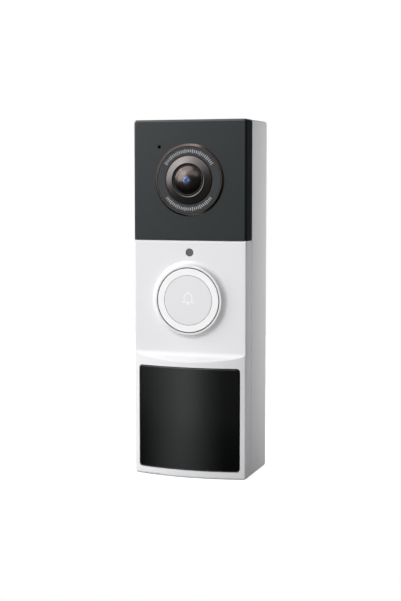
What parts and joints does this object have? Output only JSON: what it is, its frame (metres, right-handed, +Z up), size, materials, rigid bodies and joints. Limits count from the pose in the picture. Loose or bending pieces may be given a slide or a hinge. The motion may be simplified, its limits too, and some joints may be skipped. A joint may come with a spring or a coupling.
{
  "type": "video doorbell",
  "caption": "Slim upright video doorbell: camera in a dark panel, lit push button, curved motion sensor window, sealed battery housing and wall plate.",
  "frame": {"origin": "centre of the wall plate's back face, level with the middle of the casing", "axes": "+X to the right seen from the street, +Y into the wall, +Z up; the front faces -Y"},
  "size_m": [0.0494, 0.0361, 0.15],
  "materials": {
    "white_shell": "moulded ASA, fine satin",
    "dark_panel": "infrared-clear black polycarbonate, satin",
    "sensor_black": "black polyethylene, satin",
    "light_guide": "milky polycarbonate",
    "bronze_trim": "anodised, turned and bevelled",
    "turned_metal": "turned, clear anodised",
    "index_black": "moulded, matt",
    "black_plastic": "moulded, matt",
    "optical_glass": "coated optical glass",
    "smoke_window": "smoky polycarbonate",
    "soft_rubber": "silicone, matt",
    "white_rubber": "soft polyurethane, matt",
    "circuit_board": "green solder mask",
    "chip_black": "moulded epoxy",
    "tinned_steel": "tin-plated steel",
    "screw_steel": "zinc-plated steel",
    "copper_foil": "copper, stamped",
    "ribbon_amber": "polyimide film",
    "cell_wrap": "shrink-wrapped steel can",
    "lamp_white": "lamp resin",
    "label_film": "blank printed film",
    "plate_grey": "glass-filled nylon, textured"
  },
  "bodies": {
    "wall": {"wall_plate": "plate_grey"},
    "doorbell": {"front_cover": "white_shell", "camera_panel": "dark_panel", "rear_housing": "white_shell", "casing_seal": "soft_rubber", "case_screws": "screw_steel", "rating_label": "label_film", "inner_frame": "black_plastic", "lens_bezel": "bronze_trim", "index_ring": "index_black", "lens_cone": "turned_metal", "front_glass": "optical_glass", "lens_barrel": "black_plastic", "inner_lenses": "optical_glass", "lens_spacers": "black_plastic", "lens_mount": "black_plastic", "filter_actuator": "chip_black", "image_sensor": "chip_black", "camera_board": "circuit_board", "led_board": "circuit_board", "infrared_leds": "lamp_white", "panel_gaskets": "soft_rubber", "microphone": "tinned_steel", "return_pad": "white_rubber", "call_switch": "chip_black", "status_window": "smoke_window", "indicator_leds": "lamp_white", "main_board": "circuit_board", "radio_shield": "tinned_steel", "board_chips": "chip_black", "board_connectors": "black_plastic", "camera_ribbon": "ribbon_amber", "antenna": "copper_foil", "battery_cells": "cell_wrap", "battery_cradle": "black_plastic", "battery_tabs": "tinned_steel", "battery_board": "circuit_board", "sensor_window": "sensor_black", "window_gasket": "soft_rubber", "window_clamp": "black_plastic", "motion_board": "circuit_board", "motion_sensors": "tinned_steel", "speaker_gasket": "soft_rubber", "speaker_frame": "black_plastic", "speaker_magnet": "tinned_steel", "port_board": "circuit_board", "port_socket": "tinned_steel", "reset_switch": "chip_black", "board_screws": "screw_steel"},
    "button": {"button_cap": "white_shell", "bell_symbol": "light_guide", "light_ring": "light_guide"},
    "call_plunger": {"call_plunger": "black_plastic"},
    "night_filter": {"filter_blade": "black_plastic", "filter_glass": "optical_glass"},
    "speaker_cone": {"speaker_cone": "black_plastic"},
    "port_cover": {"port_cover": "white_rubber"},
    "reset_key": {"reset_key": "black_plastic"},
    "reset_plunger": {"reset_plunger": "black_plastic"}
  },
  "joints": [
    {"name": "lift_off", "type": "slide", "parent": "wall", "child": "doorbell", "axis": [0, 0, 1], "range_m": [0, 0.007]},
    {"name": "button_press", "type": "slide", "parent": "doorbell", "child": "button", "axis": [0, 1, 0], "range_m": [0, 0.0005], "stiffness_N_per_m": 2500, "deforming": ["return_pad"]},
    {"name": "call_switch_press", "type": "slide", "parent": "doorbell", "child": "call_plunger", "axis": [0, 1, 0], "range_m": [0, 0.0005]},
    {"name": "filter_shift", "type": "slide", "parent": "doorbell", "child": "night_filter", "axis": [1, 0, 0], "range_m": [0, 0.0076]},
    {"name": "cone_stroke", "type": "slide", "parent": "doorbell", "child": "speaker_cone", "axis": [0, 0, 1], "range_m": [-0.00015, 0.00015], "stiffness_N_per_m": 600},
    {"name": "port_cover_hinge", "type": "hinge", "parent": "doorbell", "child": "port_cover", "pos_m": [0.0095, -0.0079, -0.07455], "axis": [1, 0, 0], "range_deg": [0, 95]},
    {"name": "reset_press", "type": "slide", "parent": "doorbell", "child": "reset_key", "axis": [0, -1, 0], "range_m": [0, 0.0004], "stiffness_N_per_m": 1500},
    {"name": "reset_switch_press", "type": "slide", "parent": "doorbell", "child": "reset_plunger", "axis": [0, -1, 0], "range_m": [0, 0.0004]}
  ],
  "couplings": [
    {"joint": "call_switch_press", "follows": "button_press", "ratio": 1},
    {"joint": "reset_switch_press", "follows": "reset_press", "ratio": 1}
  ]
}
